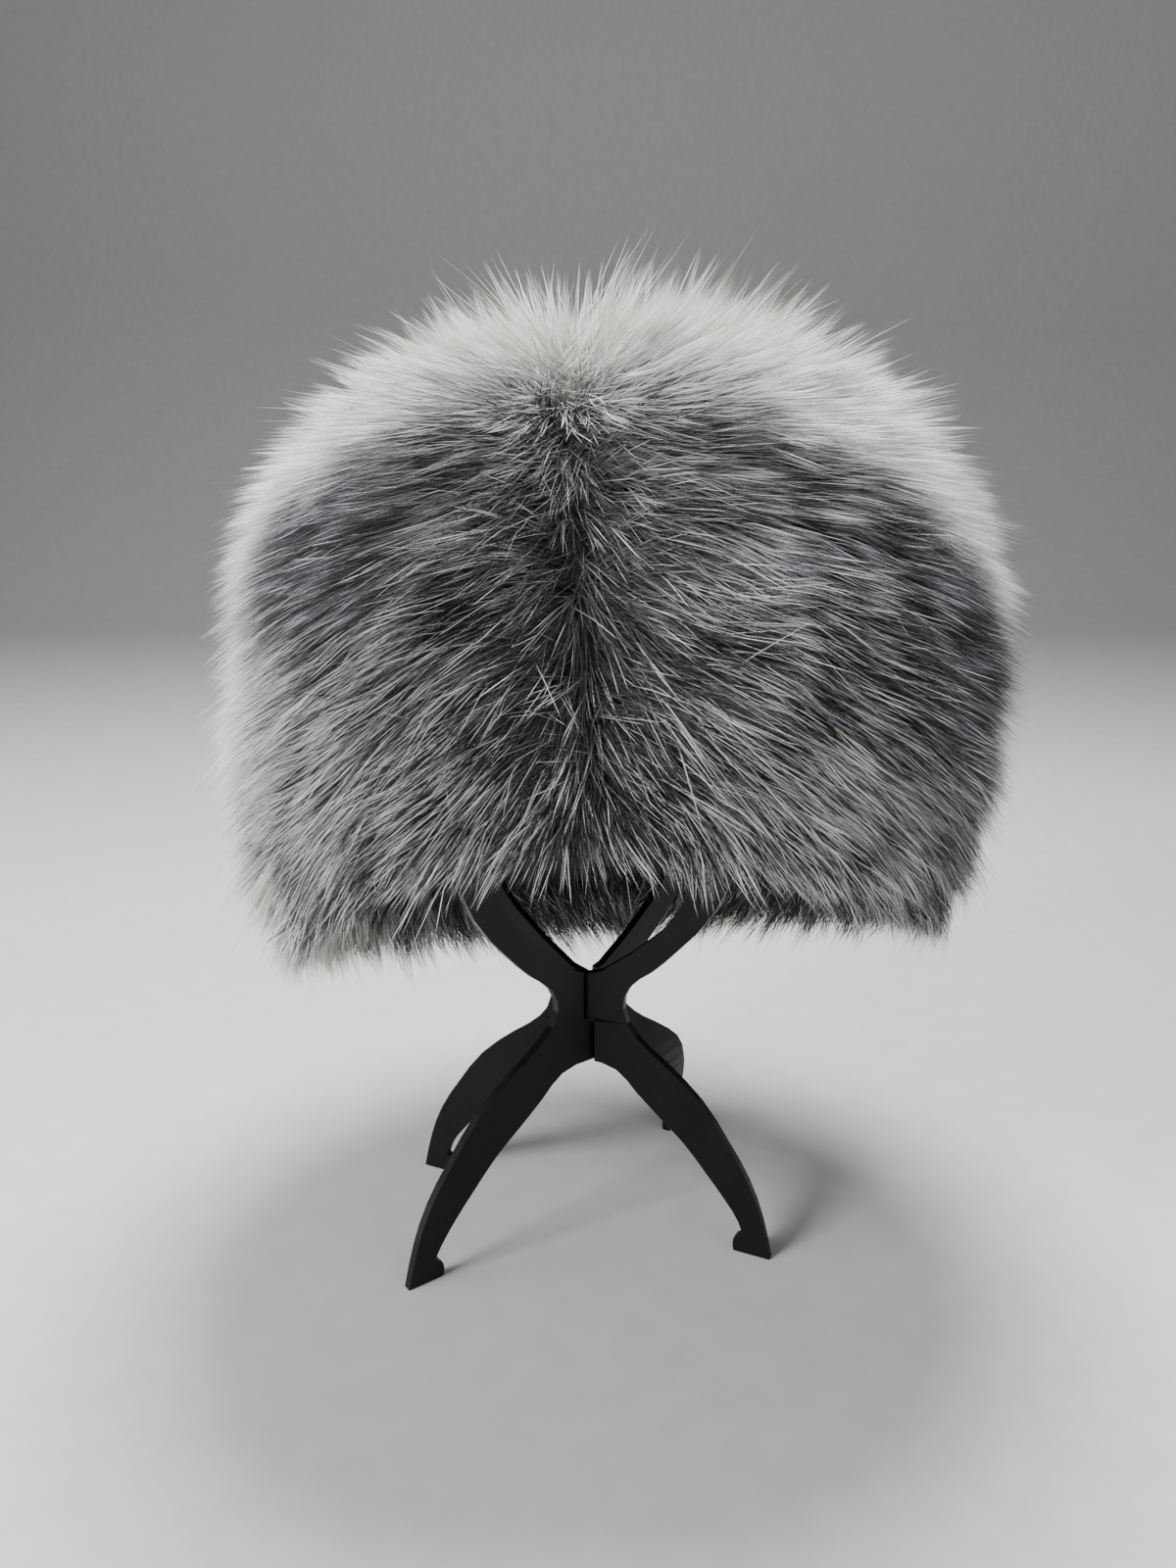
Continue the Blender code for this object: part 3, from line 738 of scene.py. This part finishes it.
def comb(angle, share, depth, hairs, tuft_width, pointed):
    """Grows the tufts whose roots are given. Returns the hairs' joints, sides, tones and ends."""
    tufts = len(angle)
    middle = fur_dome(angle, share)
    normal = outward(angle, share)
    off_parting = np.linalg.norm(middle - nearest_on_parting(middle), axis=1)
    tangle = np.exp(-((off_parting / PARTING_WIDTH) ** 2))
    way = tuft_ways(share, middle, normal, tangle)
    lift_more = tuft_lifts(angle, share, middle, tangle)
    tone_more = TONE_DRIFT * drift(middle, TONE_WAVE, 3.0) + rng.normal(0, TUFT_TONE_UNEVEN, tufts)
    longer = tuft_lengths(angle, share, middle, tangle)
    gather = rng.uniform(pointed - GATHER_SPREAD, pointed, tufts) * (1 - GATHER_LOST_AT_PARTING * tangle)

    each = np.repeat(np.arange(tufts), hairs)
    count = len(each)
    root_angle, root_share, root, off_middle = plant(angle, share, depth, middle, each, tuft_width)
    light, tone = hair_tones(root_angle, root_share, tone_more[each])
    stray = rng.random(count) < STRAYS
    in_tuft, of_kind = hair_lengths(share[each], off_middle, light, folded(root_angle, root_share))
    long = np.interp(share, SHARES, LENGTH)[each] * longer[each] * in_tuft * of_kind
    lift_root = np.interp(share, SHARES, ROOT_LIFT)[each] + lift_more[each]
    lift_root = lift_root + rng.normal(0, HAIR_LIFT_UNEVEN, count)
    lift_tip = np.interp(share, SHARES, TIP_LIFT)[each] + lift_more[each]
    lift_tip = lift_tip + rng.normal(0, HAIR_LIFT_UNEVEN, count)
    yaw = rng.normal(0, YAW, count) * (1 + YAW_AT_PARTING * tangle[each])
    yaw = yaw + np.where(stray, rng.normal(0, STRAY_YAW, count), 0)
    joints = grow(root, turn_about(way[each], normal[each], yaw), normal[each], long, lift_root, lift_tip)

    middles = joints.reshape(tufts, hairs, HAIR_JOINTS, 3).mean(axis=1)
    for step in range(1, HAIR_JOINTS):
        pull = gather[each] * (step / (HAIR_JOINTS - 1)) ** GATHER_GROWTH
        pull = pull * np.where(stray, STRAY_GATHER, 1.0)
        joints[:, step] += (middles[each, step] - joints[:, step]) * pull[:, None]

    run = unit(joints[:, -1] - joints[:, 0])
    side = unit(np.cross(run, normal[each]) + rng.normal(0, RIBBON_TWIST, (count, 3)))
    at_sides = np.interp(np.abs(root_angle), np.radians(DARK_SIDE_ANGLES), (0, 1))
    at_sides = at_sides * (root_share < DARK_SIDES_BELOW)
    dark_tips = DARK_TIPS + (DARK_TIPS_AT_SIDES - DARK_TIPS) * at_sides
    ends = np.where(rng.random(count) < dark_tips, 1.0, rng.uniform(*SILVER_ENDS, count))
    return joints, side, np.clip(tone, LEAST_TONE, MOST_TONE), ends


# A ribbon's width: at the root, how it grows with the hair's tone, how uneven it is, and how it
# narrows by joint. The half width and the margin of its strip on its own map
HAIR_WIDTH, WIDTH_OF_DARK, WIDTH_BY_TONE = 0.00032, 0.9, 0.45
WIDTH_UNEVEN, TAPER = (0.7, 1.3), (1.0, 0.9)
STRIP, MAP_MARGIN = 0.0012, 0.001


def guard_hair():
    """Hair whose tone runs across its own map and whose length runs up it."""
    finish = Finish("guard_hair", roughness=0.45, specular=0.28, sheen=0.04)
    own_map = finish.node("ShaderNodeUVMap", {"uv_map": "OFBake"}, {}).outputs["UV"]
    split = finish.node("ShaderNodeSeparateXYZ", {}, {"Vector": own_map})
    tone, along = Tone(finish, split.outputs["X"]), Tone(finish, split.outputs["Y"])
    finish.feed("Base Color", hair_colour(finish, tone, along))
    return finish.material


def add_hair(name, hairs, node):
    """One piece of guard hair: every hair a narrow ribbon that tapers to its tip."""
    joints, side, tone, ends = hairs
    count = len(joints)
    width = HAIR_WIDTH * (WIDTH_OF_DARK + WIDTH_BY_TONE * tone) * rng.uniform(*WIDTH_UNEVEN, count)
    taper = np.array(TAPER) * width[:, None] / 2
    widths = side[:, None] * taper[:, :, None]
    body = joints[:, :-1]
    pairs = np.stack([body - widths, body + widths], axis=2).reshape(count, -1, 3)
    points = np.concatenate([pairs, joints[:, -1:]], axis=1)
    each = points.shape[1]
    start = np.arange(count)[:, None] * each
    ribbon = np.array([0, 1, 3, 2, 2, 3, 4])
    corners = (start + ribbon).ravel()
    starts = (np.arange(count)[:, None] * len(ribbon) + np.array([0, 4])).ravel()

    mesh = bpy.data.meshes.new(name)
    mesh.vertices.add(count * each)
    mesh.vertices.foreach_set("co", in_world(points.reshape(-1, 3)).ravel())
    mesh.loops.add(len(corners))
    mesh.loops.foreach_set("vertex_index", corners)
    mesh.polygons.add(len(starts))
    mesh.polygons.foreach_set("loop_start", starts)
    mesh.update(calc_edges=True)

    up = np.array([0, 0, 0.5, 0.5, 1])[None] * ends[:, None]
    across = tone[:, None] + np.array([-1, 1, -1, 1, 0])[None] * STRIP
    flat = np.clip(np.stack([across, up], axis=2), MAP_MARGIN, 1 - MAP_MARGIN).reshape(-1, 2)
    bake_map = mesh.uv_layers.new(name="OFBake")
    bake_map.data.foreach_set("uv", flat[corners].ravel())
    mesh.shade_smooth()
    hair = bpy.data.objects.new(name, mesh)
    bpy.context.scene.collection.objects.link(hair)
    mesh.materials.append(guard_hair())
    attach(hair, "root")
    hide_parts(node)


# How far below the wool's surface tufts start, how deep in the fur those under the rim do, and how
# many more places under the rim are tried than are kept
ROOTS_IN_WOOL, RIM_DEPTHS, RIM_TRIES = 0.02, (0.25, 0.75), 8


def rim_places(count, within):
    """Angles of tufts that grow under the rim."""
    angle = rng.uniform(-math.pi, math.pi, count * RIM_TRIES)
    return angle[within(angle, np.zeros(len(angle)))][:count]


def on_front(angle, share):
    return (np.abs(angle) < SIDE_SEAM_ANGLE) & (share < crown_seam(angle))


def on_back(angle, share):
    return (np.abs(angle) >= SIDE_SEAM_ANGLE) & (share < crown_seam(angle))


def on_crown(angle, share):
    return share >= crown_seam(angle) - SEAM_COVER


def on_either_side(angle):
    return angle <= math.pi


def at_left(angle):
    return angle < 0


def at_right(angle):
    return angle >= 0


# Piece, its pelt, what it covers, tufts on the dome and under the rim, hairs a tuft, the tufts'
# width at the skin, and how far they close to a point
GUARD_HAIR = (
    ("front_hair_left", "front_pelt", on_front, at_left, 7000, 720, 8, 0.0062, 0.85),
    ("front_hair_right", "front_pelt", on_front, at_right, 7000, 720, 8, 0.0062, 0.85),
    ("back_hair_left", "back_pelt", on_back, at_left, 5250, 520, 8, 0.0062, 0.85),
    ("back_hair_right", "back_pelt", on_back, at_right, 5250, 520, 8, 0.0062, 0.85),
    ("crown_hair", "crown_pelt", on_crown, on_either_side, 4000, 0, 16, 0.0104, 0.98),
)

for name, pelt, panel, half, tufts, rim_tufts, hairs, tuft_width, pointed in GUARD_HAIR:
    angle, share = even_places(tufts, lambda angle, share: panel(angle, share) & half(angle))
    rim_angle = rim_places(rim_tufts, lambda angle, share: panel(angle, share) & half(angle))
    rim_depth = rng.uniform(*RIM_DEPTHS, rim_tufts)
    depth = np.concatenate([wool_depth(share) - ROOTS_IN_WOOL, rim_depth])
    angle = np.concatenate([angle, rim_angle])
    share = np.concatenate([share, lower_edge(rim_angle)])
    add_hair(name, comb(angle, share, depth, hairs, tuft_width, pointed), pelt)

# The surroundings
# A sheet of plain pale paper that runs along the floor and curves up behind, a soft light
# from the left front, a weak one on either side, and one high over the crown.

CAMERA_HEIGHT, CAMERA_AWAY, CAMERA_DOWN = 0.345, 0.5075, math.radians(15)
FOCAL_PIXELS, PICTURE_HEIGHT, SENSOR = 1240, 1600, 36.0
FLOOR_REACH, BACKDROP_AWAY, BACKDROP_HEIGHT, BACKDROP_ROUND = 9.0, 3.4, 4.5, 1.4
NEAR = 0.01
PAPER_COLOURS = ((0.3, (0.60, 0.585, 0.565)), (0.7, (0.64, 0.625, 0.605)))
PAPER_FIBRE = 60

bpy.ops.object.select_all(action="DESELECT")
bpy.ops.mesh.primitive_plane_add(size=FLOOR_REACH, location=(0, BACKDROP_AWAY - FLOOR_REACH / 2, 0))
floor = bpy.context.active_object
floor.name = "studio_floor"
bpy.ops.object.transform_apply(location=True)
bpy.ops.object.mode_set(mode="EDIT")
bpy.ops.mesh.select_mode(type="EDGE")
bpy.ops.mesh.select_all(action="DESELECT")
bpy.ops.object.mode_set(mode="OBJECT")
for edge in floor.data.edges:
    ends = [floor.data.vertices[corner].co.y for corner in edge.vertices]
    edge.select = min(ends) > BACKDROP_AWAY - NEAR
bpy.ops.object.mode_set(mode="EDIT")
bpy.ops.mesh.extrude_region_move(TRANSFORM_OT_translate={"value": (0, 0, BACKDROP_HEIGHT)})
bpy.ops.object.mode_set(mode="OBJECT")
for edge in floor.data.edges:
    places = [floor.data.vertices[corner].co for corner in edge.vertices]
    edge.select = all(place.y > BACKDROP_AWAY - NEAR and place.z < NEAR for place in places)
bpy.ops.object.mode_set(mode="EDIT")
bpy.ops.mesh.bevel(offset=BACKDROP_ROUND, segments=16)
bpy.ops.object.mode_set(mode="OBJECT")
bpy.ops.object.shade_smooth()
paper = Finish("studio_paper", roughness=0.85, specular=0.2)
fibre = paper.noise(paper.here(), PAPER_FIBRE, detail=4)
paper.feed("Base Color", paper.ramp(fibre, PAPER_COLOURS))
floor.data.materials.append(paper.material)


def stand_axis():
    """Where the two plates cross, on the floor."""
    low, high = (np.array(corner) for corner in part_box("stand_plate_falling"))
    return (low + high) / 2


def add_soft_light(name, place, aim, size, power, colour):
    light = bpy.data.lights.new(name, "AREA")
    light.shape = "DISK"
    light.size = size
    light.energy = power
    light.color = colour
    lamp = bpy.data.objects.new(name, light)
    lamp.location = place
    lamp.rotation_euler = (Vector(aim) - Vector(place)).to_track_quat("-Z", "Y").to_euler()
    bpy.context.scene.collection.objects.link(lamp)


AIM = (0, 0, 0.25)
SKY_COLOUR, SKY_STRENGTH = (0.80, 0.82, 0.85, 1), 0.21

add_soft_light("key", (-1.35, -0.95, 1.2), AIM, 0.6, 34, (1.0, 0.99, 0.97))
add_soft_light("fill", (1.2, -1.2, 0.9), AIM, 1.2, 6, (0.95, 0.97, 1.0))
add_soft_light("left_fill", (-1.5, -0.45, 0.6), AIM, 1.0, 13, (0.98, 0.98, 1.0))
add_soft_light("crown_light", (0.05, 0.25, 1.4), AIM, 0.5, 38, (1.0, 0.985, 0.96))

sky = bpy.data.worlds.new("studio")
sky.use_nodes = True
sky.node_tree.nodes["Background"].inputs["Color"].default_value = SKY_COLOUR
sky.node_tree.nodes["Background"].inputs["Strength"].default_value = SKY_STRENGTH
bpy.context.scene.world = sky

axis = stand_axis()
lens = bpy.data.cameras.new("camera")
lens.sensor_width = SENSOR
lens.lens = FOCAL_PIXELS / PICTURE_HEIGHT * SENSOR
camera = bpy.data.objects.new("camera", lens)
camera.location = (axis[0], axis[1] - CAMERA_AWAY, CAMERA_HEIGHT)
camera.rotation_euler = (math.pi / 2 - CAMERA_DOWN, 0, 0)
bpy.context.scene.collection.objects.link(camera)
bpy.context.scene.camera = camera
